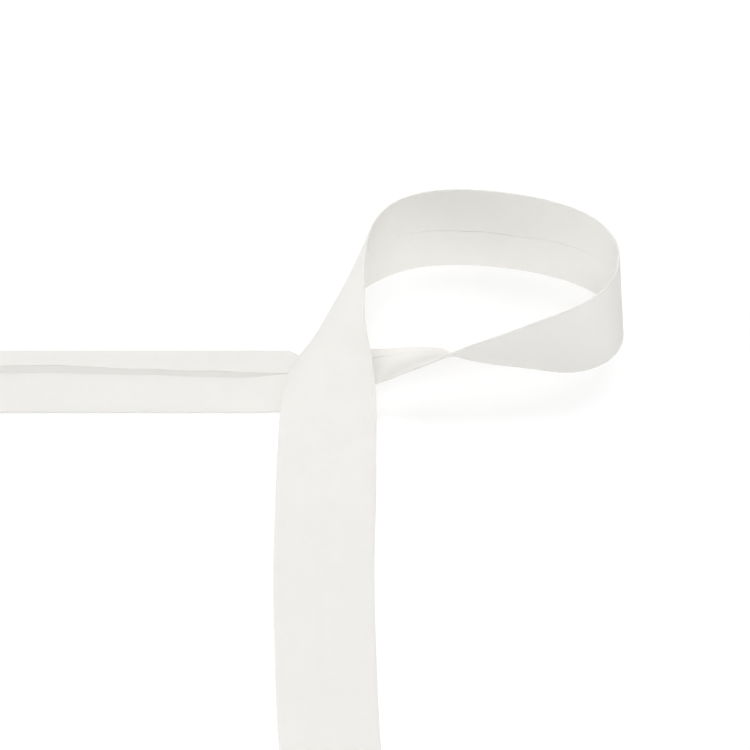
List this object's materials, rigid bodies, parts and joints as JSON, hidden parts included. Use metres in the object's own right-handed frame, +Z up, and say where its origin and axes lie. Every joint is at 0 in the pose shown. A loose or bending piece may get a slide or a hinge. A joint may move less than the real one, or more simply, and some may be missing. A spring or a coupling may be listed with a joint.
{
  "type": "length of folded bias tape",
  "caption": "Folded cotton bias tape lying in a loop that crosses itself, with straight cut ends, for binding the edges of cloth.",
  "frame": {"origin": "middle of the tape's box, on the surface it lies on", "axes": "+X from the incoming end towards the loop, +Y from the outgoing end towards the back of the loop, +Z up"},
  "size_m": [0.1344, 0.1689, 0.0201],
  "materials": {
    "white_cotton": "plain weave cotton cut on the bias, matt, off white"
  },
  "bodies": {
    "root": {"bias_tape": "white_cotton"}
  },
  "joints": []
}
